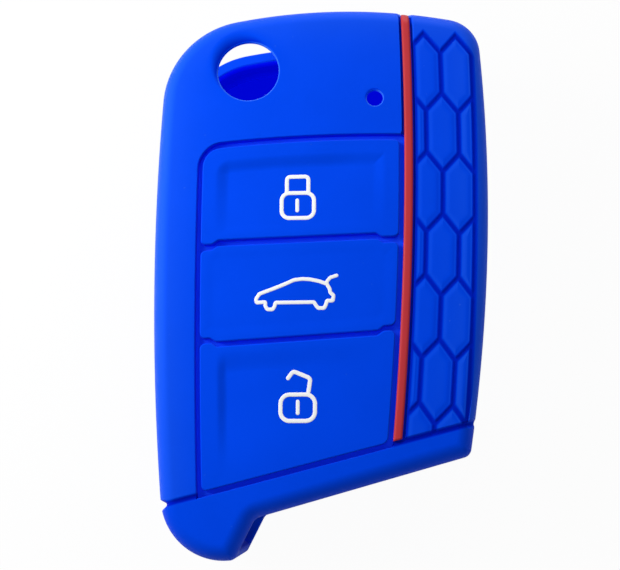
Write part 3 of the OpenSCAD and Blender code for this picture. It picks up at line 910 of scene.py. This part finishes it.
# %% [markdown]
# Two windows are left out of the band: the long slot that the blade swings out of, and the open side
# of the tail, where the key's ring passes. Cut with a Boolean, they would have hard edges. Trimmed
# from the grid, they get the same soft rim as the pads.

# %% The two windows in the band


def nearest_s(x, y, row):
    """Distance along the outline of the point nearest to (x, y) on one row of the outline."""
    s = np.linspace(STARTS[row], STARTS[row + 1], 4001)
    p, _ = outline_at(s)
    return float(s[np.hypot(p[:, 0] - x, p[:, 1] - y).argmin()])


def middle_s(row):
    """Distance along the outline of the middle of one of its rows."""
    return (STARTS[row] + STARTS[row + 1]) / 2


SLOT_H, SLOT_Z = 8.4, 5.0
MOUTH_HALF, MOUTH_HIGH, MOUTH_R = 2.8, 7.1, 1.2
slot_start = nearest_s(19.1 - BODY_W / 2, 36.6, TOP)
slot_end = nearest_s(-BODY_W / 2, 13.4 - BODY_L / 2, LEFT)
mouth = middle_s(TAIL_SIDE) + 0.9 + 0.25
print("slot from", round(slot_start, 1), "to", round(slot_end, 1), "mm along the outline")


def keep_band(s, t):
    """Outside the blade slot, a long shape with round ends, and outside the tail's opening, a box
    with rounded corners."""
    z, r = profile(t)[1], SLOT_H / 2
    along = np.clip(s, slot_start + r, slot_end - r)
    slot = np.hypot(s - along, z - SLOT_Z - r) - r
    a = np.abs(s - mouth) - MOUTH_HALF + MOUTH_R
    b = np.abs(z - BODY_T / 2) - MOUTH_HIGH + MOUTH_R
    tail = np.hypot(np.maximum(a, 0), np.maximum(b, 0)) + np.minimum(np.maximum(a, b), 0) - MOUTH_R
    return np.minimum(slot, tail) - BAND_RIM


# %% [markdown]
# Even columns would have to be very fine to show the grooves that cross the band and its small
# corners. Instead the columns crowd together at those places only.

# %% The band round the sides


def crowded(length, step, marks, fine, reach):
    """Stations from 0 to a length, a step apart and crowded to a fine step near each mark."""
    s = np.linspace(0, length, 40001)
    near = np.min([smooth((np.abs(s - mark) - reach) / 2.0) for mark in marks], axis=0)
    size = fine + (step - fine) * near
    total = np.concatenate([[0], np.cumsum(np.diff(s) / size[:-1])])
    return np.interp(np.linspace(0, total[-1], int(total[-1]) + 1), total, s)


def upwards(place):
    """The same formula with t counted upwards. As s runs anticlockwise seen from the front, this
    keeps the outside outside."""
    return lambda s, t: place(s, -t)


marks = [
    nearest_s(-BODY_W / 2, -LOW_Y - math.tan(LOW_SLANT) * 22.2, LEFT),
    nearest_s(21.5, -LOW_Y + math.tan(LOW_SLANT) * 21.5, RIGHT),
    nearest_s(strip_at(36.0), 36.8, TOP),
    *map(middle_s, (TOP_RIGHT, TAIL_CORNER, TAIL_HOLLOW, LOW_RIGHT)),
]
stations = crowded(AROUND, 0.5 / GRID, marks, 0.12, 0.9)[:-1]
down = np.concatenate([
    np.linspace(0, WALL_TOP, 8)[:-1],
    np.linspace(WALL_TOP, WALL_END, int(32 * GRID))[:-1],
    np.linspace(WALL_END, BACK_START, 9)[:-1],
    [BACK_START, BACK_START + BACK_LAP],
])
S, T = np.meshgrid(stations, -down[::-1])
# Painted glow on the band's inner face, and dark painted shade there that lifts near the slot and the tail's
# opening.
band = solid_sheet("cover_sides", S, T, upwards(keep_band), upwards(band_outer), upwards(band_inner), WALL,
                   rim=BAND_RIM, closed=AROUND, inner_round=0.3, painted_glow_levels=(0, 0.62), tone=upwards(band_tone),
                   inner_tone=upwards(lambda s, t: -2 * smooth((keep_band(s, t) - 0.1) / 1.6)))

# %% [markdown]
# ## The back
# The back is plain and flat. It could be part of the band, but the band's grid would crowd at its
# middle. It is made as one more sheet, seen inside the holes as the floor of the hollow, with dark
# painted shade and a painted glow that fades out towards the tail end.

# %% The back


def keep_back(x, y):
    """Inside the band's lower rim."""
    return from_outline(x, y)[0] - EDGE_R - BACK_LAP - SEAM_ROUND


X, Y = np.meshgrid(np.arange(-21, 21.5, 0.6), np.arange(-36, 36, 0.6))
# Dark painted shade and a painted glow on the back's inner face.
back = solid_sheet("cover_back", -X, Y, keep_back, level(0), level(WALL), WALL, painted_glow_levels=(0, 1))

# %% [markdown]
# ## The collars of the two holes
# Round the release button's hole the face dips in a shallow hollow, deepest at the upper left. The
# leaning grid of the face can't follow a small circle well. So each hole has a collar of its own: a
# profile spun round the hole, from the flat face over the dip and down the hole's wall.

# %% Collars
HOLE_RIM = 0.16


def tube_faces(rows, turns, ring=False):
    """Faces over rows of points that each close on themselves. A ring joins the last row to the
    first, and an open tube has a cap at each end."""
    index = np.arange(rows * turns).reshape(rows, turns)
    ahead, below = np.roll(index, -1, 1), np.roll(index, -1, 0)
    quads = np.stack([index, ahead, np.roll(below, -1, 1), below], -1)
    return [quads.reshape(-1, 4)] if ring else [quads[:-1].reshape(-1, 4), index[:1, ::-1], index[-1:]]


def collar(name, centre, hole_r, outer_r, dip, spread, deep_side, shift=(0, 0), wider=0.0, rings=14,
           turns=160):
    """Profile (radius, height) at each angle: flat, a soft dip, a rounded rim, the wall, the underside.
    The dip is a crescent: its width and depth fall off away from its deep side. shift moves the
    hole itself a little off the collar's centre, and wider adds to its radius at the deep side."""
    angle = np.arange(turns) * TURN / turns
    facing = (1 + np.cos(angle - deep_side)) / 2
    side, hole_r = facing**3.8, hole_r + wider * facing**2
    slide, roll = np.linspace(0, 1, rings)[:, None], np.linspace(0, RIGHT_ANGLE, 7)[1:, None]
    start = hole_r + HOLE_RIM + 0.12 + spread * side
    spun = [
        (outer_r, 0),
        (start + (hole_r + HOLE_RIM - start) * slide, -(slide**2) * dip * side),
        (hole_r + HOLE_RIM * (1 - np.sin(roll)), -dip * side - HOLE_RIM * (1 - np.cos(roll))),
        (hole_r, np.maximum(-dip * side - HOLE_RIM - 0.3, -FRONT_WALL)),
        (np.minimum(hole_r + 0.9, outer_r - 0.1), -FRONT_WALL),
        (outer_r, -FRONT_WALL),
    ]
    R, H = (np.concatenate([np.atleast_2d(part[k] + np.zeros(turns)) for part in spun]) for k in (0, 1))
    move = np.clip((outer_r - R) / (outer_r - hole_r), 0, 1)
    points = np.stack([centre[0] + R * np.cos(angle) + shift[0] * move,
                       centre[1] + R * np.sin(angle) + shift[1] * move, BODY_T + H], -1)
    around = np.roll(points, -1, 1) - np.roll(points, 1, 1)
    normals = -unit_rows(np.cross(np.gradient(points, axis=0), around))
    normals[0], normals[-2:] = (0, 0, 1), (0, 0, -1)
    normals[-4:-2] = np.stack([-np.cos(angle), -np.sin(angle), 0 * angle], -1)
    through, tone = np.zeros(R.shape), np.zeros(R.shape)
    # Painted glow at the foot of the hole's wall and on the underside.
    through[-3:] = 0.3
    # Painted sheen towards the cover's edge on the flat ring.
    tone[0] = edge_tone(points[0, :, 0], points[0, :, 1])
    # Painted shade in the dip, deepest on its deep side.
    tone[1 : rings + 1] = -0.9 * slide**2 * smooth(side / 0.5)
    # Painted highlight round the hole's rim and down its wall, but not on the deep side.
    tone[rings + 1 : rings + 8] = 1 - smooth((side - 0.3) / 0.4)
    # Dark painted shade on the underside.
    tone[-2:] = -2
    return add_mesh(name, points.reshape(-1, 3), tube_faces(*R.shape, ring=True), normals.reshape(-1, 3),
                    through=through.ravel(), tone=tone.ravel())


release = collar("release_collar", RELEASE, 4.13, RELEASE_OUT, dip=0.5, spread=1.5,
                 deep_side=math.radians(128), shift=(-0.12, 0.06), wider=0.3)
lamp = collar("lamp_collar", LAMP, 1.1, LAMP_OUT, dip=0.05, spread=0.2, deep_side=math.radians(124),
              rings=8, turns=72)

# %% [markdown]
# ## The red strip
# The strip is moulded from red silicone and lies in its bed. A curve with a bevel would twist at the
# bend. Here its crowned profile is carried up the front, over the rounded top edge and down to its
# end, and always stands across the path.

# %% The strip
STRIP_DROP = 0.55


def strip_mesh(name):
    """Profile: a crown STRIP_W wide. Path: the strip's curve, then a quarter circle over the edge.
    The lower end follows the slanted groove."""
    across = np.linspace(-1, 1, 13)
    o = np.concatenate([across, [1, -1]]) * STRIP_W / 2
    h = np.concatenate([-0.01 - 0.17 * across**4, [-STRIP_T, -STRIP_T]])
    low = -LOW_Y + math.tan(LOW_SLANT) * (strip_at(-22.0) + o) + 0.36 / math.cos(LOW_SLANT)
    leans = np.linspace(0, RIGHT_ANGLE, 16)
    Y = low + np.linspace(0, 1, 200)[:, None] * (STRIP_BEND - low)
    L = np.concatenate([np.zeros(len(Y)), leans])[:, None] + np.zeros(len(o))
    for lean in leans:
        y = Y[-1]
        for _ in range(6):
            inside, nx, ny = from_outline(strip_at(y) + o, y)
            y = y + (inside - EDGE_R * (1 - math.sin(lean))) / np.maximum(ny, 0.5)
        Y = np.vstack([Y, y])
    X, Z = strip_at(Y) + o, BODY_T - EDGE_R + EDGE_R * np.cos(L)
    _, nx, ny = from_outline(X, Y - 0.01)
    away = np.stack([nx * np.sin(L), ny * np.sin(L), np.cos(L)], -1)
    points = np.stack([X, Y, Z], -1) + away * (h - 0.1 * np.sin(L))[..., None]
    points = np.concatenate([points, points[-1:] - (0, 0, STRIP_DROP)])
    return add_mesh(name, points.reshape(-1, 3), tube_faces(*points.shape[:2]))


strip = strip_mesh("red_strip")

# %% [markdown]
# ## The white signs
# The signs for lock, boot and unlock are printed in white and stand a few hundredths of a
# millimetre proud. An image could carry them, but it would blur close up. So each stroke follows a
# line: a few points are joined, and averaging rounds the corners.

# %% Smoothed lines


def run_along(line):
    """Length of a broken line up to each of its points."""
    return np.concatenate([[0], np.cumsum(np.linalg.norm(np.diff(line, axis=0), axis=1))])


def read_at(at, run, values):
    """Rows of values read at the lengths at."""
    return np.stack([np.interp(at, run, values[:, k]) for k in (0, 1)], -1)


def smooth_line(points, closed, width, spacing=0.06):
    """Points every spacing along a broken line, averaged over a width, which rounds the corners."""
    points = np.array(points, float)
    if closed:
        points = np.vstack([points, points[:1]])
    run = run_along(points)
    at = np.linspace(0, run[-1], max(8, int(run[-1] / spacing)), endpoint=not closed)
    reach = max(1, int(width / spacing / 2))
    ends = dict(mode="wrap") if closed else dict(mode="reflect", reflect_type="odd")
    padded = np.pad(read_at(at, run, points), ((reach, reach), (0, 0)), **ends)
    kernel = np.ones(2 * reach + 1) / (2 * reach + 1)
    return np.stack([np.convolve(padded[:, k], kernel, "valid") for k in (0, 1)], -1)


# %% [markdown]
# A stroke is a flattened tube along its line, which lies in the finger hollow and stays sharp. Its
# ends are round, like those of the printed lines.

# %% Strokes


def stroke(line, closed, width, number, sides=12, high=0.05):
    """Tube with a flattened round section along a line on a button; open ends run out to a round tip."""
    if closed:
        along, size = np.roll(line, -1, 0) - np.roll(line, 1, 0), np.ones(len(line))
    else:
        run, tip = run_along(line), width / 2
        tips = tip * (1 - np.cos(np.linspace(0, RIGHT_ANGLE, 7)))
        body = np.linspace(tip, run[-1] - tip, max(4, len(line)))[1:-1]
        at = np.concatenate([tips, body, run[-1] - tips[::-1]])
        along = read_at(at, run, unit_rows(np.gradient(line, axis=0)))
        line = read_at(at, run, line)
        end = least(at, run[-1] - at, tip)
        size = np.sqrt(np.clip(1 - (1 - end / tip) ** 2, 0.0004, 1))
    along = unit_rows(along)
    angle = np.arange(sides) * TURN / sides
    reach = np.outer(size, np.cos(angle)) * width / 2
    x, y = line[:, :1] - along[:, 1:] * reach, line[:, 1:] + along[:, :1] * reach
    z = BODY_T - hollow(number, x, y) + np.outer(size, np.sin(angle)) * high
    faces = [np.roll(f[:, ::-1], 1, 1) for f in tube_faces(*x.shape, ring=closed)]
    return np.stack([x, y, z], -1).reshape(-1, 3), faces


def sign(name, number, strokes):
    """All strokes of one sign as one mesh. A stroke is a broken line, whether it is closed, the
    width over which it is smoothed and the width of its ink."""
    points, faces = np.zeros((0, 3)), []
    for line, closed, blur, width in strokes:
        more, tube = stroke(smooth_line(line, closed, blur), closed, width, number)
        faces += [f + len(points) for f in tube]
        points = np.concatenate([points, more])
    return add_mesh(name, points, faces)


# %% [markdown]
# The lock is a box with a slit and a bow, closed on one sign and open on the other. The car is one
# closed line with its boot lid open. Their points are in millimetres on the front of the cover.

# %% The three signs
INK_W, SLIT_W = 0.55, 0.5


def rounded_box(x0, x1, y0, y1, r, count=18):
    """Closed line round a box with corners of radius r, anticlockwise, drawn inside by half the ink."""
    x0, x1, y0, y1 = x0 + INK_W / 2 + r, x1 - INK_W / 2 - r, y0 + INK_W / 2 + r, y1 - INK_W / 2 - r
    turns = np.linspace(0, RIGHT_ANGLE, count)
    centres = [(x1, y1), (x0, y1), (x0, y0), (x1, y0)]
    return np.concatenate([c + r * unit(k * RIGHT_ANGLE + turns) for k, c in enumerate(centres)])


lock_bow = [(-4.51, 10.79), (-4.51, 12.94), (-4.26, 13.19), (-1.86, 13.21), (-1.61, 12.96), (-1.61, 10.79)]
unlock_bow = [
    (-1.62, -16.06), (-1.36, -14.26), (-1.56, -13.96), (-3.41, -13.19), (-3.71, -13.26), (-4.42, -14.23),
]
car_line = [
    (-8.45, -4.02), (-8.55, -3.58), (-8.11, -2.86), (-5.97, -2.07), (-4.91, -1.64), (-3.49, -1.02),
    (-2.43, -0.88), (-1.36, -0.95), (-0.12, -1.23), (0.86, -1.60), (1.21, -2.23), (1.30, -2.77),
    (1.74, -3.13), (1.64, -3.84), (0.85, -3.83), (0.76, -4.29), (0.49, -4.82), (-0.30, -4.81),
    (-0.66, -4.36), (-0.83, -4.01), (-5.96, -4.04), (-6.05, -4.50), (-6.31, -4.94), (-7.03, -4.93),
    (-7.30, -4.49), (-7.30, -3.95),
]
boot_lid = [(0.86, -1.56), (0.89, -1.21), (1.31, -0.73), (2.37, -0.39)]
lock_sign = sign("lock_sign", 0, [
    (rounded_box(-5.48, -0.58, 7.15, 11.19, 1.05), True, 0.2, INK_W),
    (lock_bow, False, 0.5, INK_W),
    ([(-3.10, 8.21), (-3.10, 10.15)], False, 0.35, SLIT_W),
])
unlock_sign = sign("unlock_sign", 2, [
    (rounded_box(-5.51, -0.46, -19.86, -15.89, 1.2), True, 0.2, INK_W),
    (unlock_bow, False, 0.35, INK_W),
    ([(-2.98, -18.83), (-2.98, -16.83)], False, 0.35, SLIT_W),
])
boot_sign = sign("boot_sign", 1, [(car_line, True, 0.35, 0.5), (boot_lid, False, 0.3, 0.48)])

# %% [markdown]
# ## Materials
# Every material is a small tree of nodes. Five short functions make a node and join it to the others,
# so that the materials below read like formulas.

# %% Nodes in short


def wire(node, inputs):
    """Fill a node's inputs by name or number: an output of another node is linked, a value is set."""
    for key, value in inputs.items():
        if isinstance(value, bpy.types.NodeSocket):
            node.id_data.links.new(value, node.inputs[key])
        else:
            node.inputs[key].default_value = value


def add_node(tree, kind, inputs=None, **options):
    """New shader node: first its options are set, then its inputs."""
    node = tree.nodes.new("ShaderNode" + kind)
    for option, value in options.items():
        setattr(node, option, value)
    wire(node, inputs or {})
    return node


def map_range(tree, value, low=0, high=1, to_low=0, to_high=1):
    """Value carried from the range low to high into the range to_low to to_high, and held there."""
    ends = {"From Min": low, "From Max": high, "To Min": to_low, "To Max": to_high}
    return add_node(tree, "MapRange", {"Value": value, **ends}).outputs["Result"]


def product(tree, a, b):
    """a times b."""
    return add_node(tree, "Math", {0: a, 1: b}, operation="MULTIPLY").outputs[0]


def mixed(tree, share, a, b):
    """Colour a at share 0, colour b at share 1."""
    return add_node(tree, "Mix", {"Factor": share, "A": a, "B": b}, data_type="RGBA").outputs["Result"]


# %% [markdown]
# Silicone is satin, with a fine moulded grain and a soft brightness where it is seen edge on. An
# image texture would need unwrapping and would repeat. The grain, slight cloudiness and dust are
# worked out in space instead, as one node group that each rubber material uses. The same group mixes
# in the painted light and shade that each point carries.

# %% The grain group
GRAIN_SCALE, CLOUD_SCALE, DUST_SCALE = 5200, 160, 1500
DUST_COLOR = (0.08, 0.25, 0.95, 1)
PAINTED_SHADE, PAINTED_DARK_SHADE, PAINTED_LIGHT = (0, 0.015, 0.7, 1), (0, 0.002, 0.36, 1), (0.03, 0.17, 0.98, 1)


def grain_group():
    """Moulded silicone: fine grain for the bump, slow clouds in roughness, sparse dust in colour.
    Each point's tone mixes in painted shade, dark painted shade and painted light. Where tone is below
    0, the shine and the sheen fade as well: painted shade of the reflections deep in a groove."""
    group = bpy.data.node_groups.new("moulded_silicone", "ShaderNodeTree")
    sockets = {"INPUT": ("Color", "Dust", "Roughness", "Painted Shading", "Specular", "Sheen"),
               "OUTPUT": ("Color", "Roughness", "Height", "Specular", "Sheen")}
    for way, labels in sockets.items():
        for label in labels:
            kind = "NodeSocketColor" if label == "Color" else "NodeSocketFloat"
            group.interface.new_socket(label, in_out=way, socket_type=kind)
    source, target = group.nodes.new("NodeGroupInput").outputs, group.nodes.new("NodeGroupOutput")
    place = add_node(group, "TexCoord").outputs["Object"]
    grain, cloud, specks = (
        add_node(group, "TexNoise", {"Vector": place, "Scale": scale, "Detail": detail}).outputs["Fac"]
        for scale, detail in ((GRAIN_SCALE, 2), (CLOUD_SCALE, 3), (DUST_SCALE, 1))
    )
    dusty = product(group, map_range(group, specks, 0.78, 0.86), source["Dust"])
    shade = map_range(group, cloud, to_low=0.95, to_high=1.05)
    tinted = add_node(group, "VectorMath", {0: source["Color"], "Scale": shade}, operation="SCALE")
    color = mixed(group, dusty, tinted.outputs[0], DUST_COLOR)
    # Painted shading: painted shade, dark painted shade and painted light mixed into the colour.
    for low, high, look in ((0, -1, PAINTED_SHADE), (-1, -2, PAINTED_DARK_SHADE), (0, 1, PAINTED_LIGHT)):
        color = mixed(group, map_range(group, source["Painted Shading"], low, high), color, look)
    # Painted shade of the reflections: shine and sheen fade where the painted shade is.
    painted_shade_shine = map_range(group, source["Painted Shading"], -0.4, 0, to_low=0.1)
    wire(target, {
        "Color": color,
        "Roughness": product(group, map_range(group, cloud, to_low=0.92, to_high=1.1), source["Roughness"]),
        "Height": grain,
        "Specular": product(group, painted_shade_shine, source["Specular"]),
        "Sheen": product(group, painted_shade_shine, source["Sheen"]),
    })
    return group


GRAIN = grain_group()
print("grain group nodes:", len(GRAIN.nodes))

# %% [markdown]
# The cover is bright blue and the strip is red. Light comes in the thin walls, which could be
# had from subsurface scattering. A painted glow set by each point's own strength stands in for it,
# free of noise, and also brightens the inner faces seen inside the holes.

# %% The silicone


def silicone(name, color, roughness, dust, sheen, glint, specular=0.35, glow=0.0):
    """Satin silicone: the grain group feeds a Principled shader, with a soft sheen at the edges.
    glint tints the shine seen straight on, and glow is the strength of a painted glow that stands in
    for light passing the thin wall."""
    material = bpy.data.materials.new(name)
    material.use_nodes = True
    tree = material.node_tree
    shader, group = tree.nodes["Principled BSDF"], add_node(tree, "Group", node_tree=GRAIN)
    wire(group, {
        "Color": (*color, 1), "Dust": dust, "Roughness": roughness, "Specular": specular, "Sheen": sheen,
        "Painted Shading": add_node(tree, "Attribute", attribute_name="tone").outputs["Fac"],
    })
    made = group.outputs
    bump = add_node(tree, "Bump", {"Strength": 0.12, "Distance": 0.00004, "Height": made["Height"]})
    wire(shader, {
        "Base Color": made["Color"], "Roughness": made["Roughness"], "Normal": bump.outputs["Normal"],
        "IOR": 1.41, "Specular IOR Level": made["Specular"], "Specular Tint": (*glint, 1),
        "Sheen Weight": made["Sheen"], "Sheen Roughness": 0.3, "Sheen Tint": (0.6, 0.7, 1.0, 1),
    })
    if glow:
        # Painted glow: emission set by each point's painted glow strength, in place of light passing the
        # wall.
        through = add_node(tree, "Attribute", attribute_name="through").outputs["Fac"]
        shine = mixed(tree, through, (0, 0, 0, 1), (0, 0.002, 1, 1))
        wire(shader, {"Emission Color": shine, "Emission Strength": glow})
    return material


BLUE = silicone("blue_silicone", (0.0, 0.068, 0.97), 0.5, 0.25, 0.15, (0.0, 0.3, 1.0), glow=0.67)
RED = silicone("red_silicone", (0.62, 0.045, 0.055), 0.42, 0.1, 0.1, (1.0, 0.6, 0.6))
print("materials:", BLUE.name, RED.name)

# %% [markdown]
# The white of the signs is a matt ink. It could be plain white, but bare white looks like paper. It
# has the same grain as the rubber below it, but no dust, and a faint light of its own.

# %% The ink
INK = silicone("white_ink", (0.98, 0.99, 1.0), 0.6, 0.0, 0.0, (1, 1, 1), specular=0.3)
INK.node_tree.nodes["Principled BSDF"].inputs["Emission Strength"].default_value = 0.08

# %% [markdown]
# ## Putting it together
# Every piece rides on a CAD body. The buttons carry their signs, and everything else stays with the
# cover. The CAD nodes that the new pieces show instead are hidden: the buttons, their webs, the strip
# and the sleeve, whose place the band, the face, the grip, the back and the two collars take together.

# %% Ride, replace and paint
COVER = [face, grip, band, back, release, lamp, strip, *webs]
for piece in COVER:
    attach(piece, "cover")
for body, printed in (("lock", lock_sign), ("boot", boot_sign), ("unlock", unlock_sign)):
    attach(pads[body], body)
    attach(printed, body)
    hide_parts(body + "_button")
    pads[body].data.materials.append(BLUE)
    printed.data.materials.append(INK)
for piece, body in zip(webs, BUTTONS):
    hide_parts(body + "_button_web")
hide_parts("sleeve")
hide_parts("accent_strip")
for piece in COVER:
    piece.data.materials.append(RED if piece is strip else BLUE)
print("pieces on the cover:", len(COVER))

# %% [markdown]
# ## Floor and light
# The cover lies on a white sheet that keeps a faint shadow. A bare white background would leave the
# cover floating, and a plain white floor would come out grey. So the camera sees it nearly as light.

# %% Floor


def floor_material():
    """White floor that keeps the shadow, and is see-through from below."""
    material = bpy.data.materials.new("white_floor")
    material.use_nodes = True
    tree = material.node_tree
    tree.nodes.clear()
    sheet = add_node(tree, "BsdfDiffuse", {"Color": (0.93, 0.93, 0.94, 1)})
    seen = product(tree, add_node(tree, "LightPath").outputs["Is Camera Ray"], 0.96)
    glow = add_node(tree, "Emission")
    look = add_node(tree, "MixShader", {"Fac": seen, 1: sheet.outputs[0], 2: glow.outputs[0]})
    below = add_node(tree, "NewGeometry").outputs["Backfacing"]
    clear = add_node(tree, "BsdfTransparent")
    under = add_node(tree, "MixShader", {"Fac": below, 1: look.outputs[0], 2: clear.outputs[0]})
    add_node(tree, "OutputMaterial", {"Surface": under.outputs[0]})
    return material


def add_floor(size, z):
    """Square floor just under the cover."""
    points = np.array([(-1, -1, 0), (1, -1, 0), (1, 1, 0), (-1, 1, 0)]) * size / 2 + (0, 0, z)
    floor = add_mesh("white_floor", points, [np.array([[0, 1, 2, 3]])])
    floor.data.materials.append(floor_material())
    return floor


floor = add_floor(1600, -0.05)

# %% [markdown]
# The light is soft and comes from all round. Two large lamps, one at the left and one beyond the top
# edge, brighten the edges on their sides. A picture of a room could light the scene too, but plain
# white is as even as the light in the photograph.

# %% Light


def add_lamp(name, position, size, power):
    """Square area lamp at a position in mm, aimed at the middle of the cover."""
    data = bpy.data.lights.new(name, "AREA")
    data.shape, data.size, data.energy = "SQUARE", size * MM, power
    lamp_object = add_object(name, data)
    lamp_object.location = Vector(position) * MM
    aim = Vector((0, 0, 10)) * MM - lamp_object.location
    lamp_object.rotation_mode = "QUATERNION"
    lamp_object.rotation_quaternion = aim.to_track_quat("-Z", "Y")
    return lamp_object


def white_world(strength):
    """Plain white surroundings of the given strength, shown at strength 1 to the camera."""
    world = bpy.data.worlds.new("white_room")
    bpy.context.scene.world = world
    world.use_nodes = True
    tree = world.node_tree
    seen = add_node(tree, "LightPath").outputs["Is Camera Ray"]
    glow = map_range(tree, seen, to_low=strength, to_high=1)
    wire(tree.nodes["Background"], {"Color": (1, 1, 1, 1), "Strength": glow})


white_world(0.29)
left_lamp = add_lamp("left_lamp", (-110, 40, 90), 80, 0.16)
top_lamp = add_lamp("top_lamp", (30, 190, 90), 100, 0.13)
bpy.context.scene.view_settings.view_transform = "Standard"
print("lamps:", left_lamp.name, top_lamp.name)
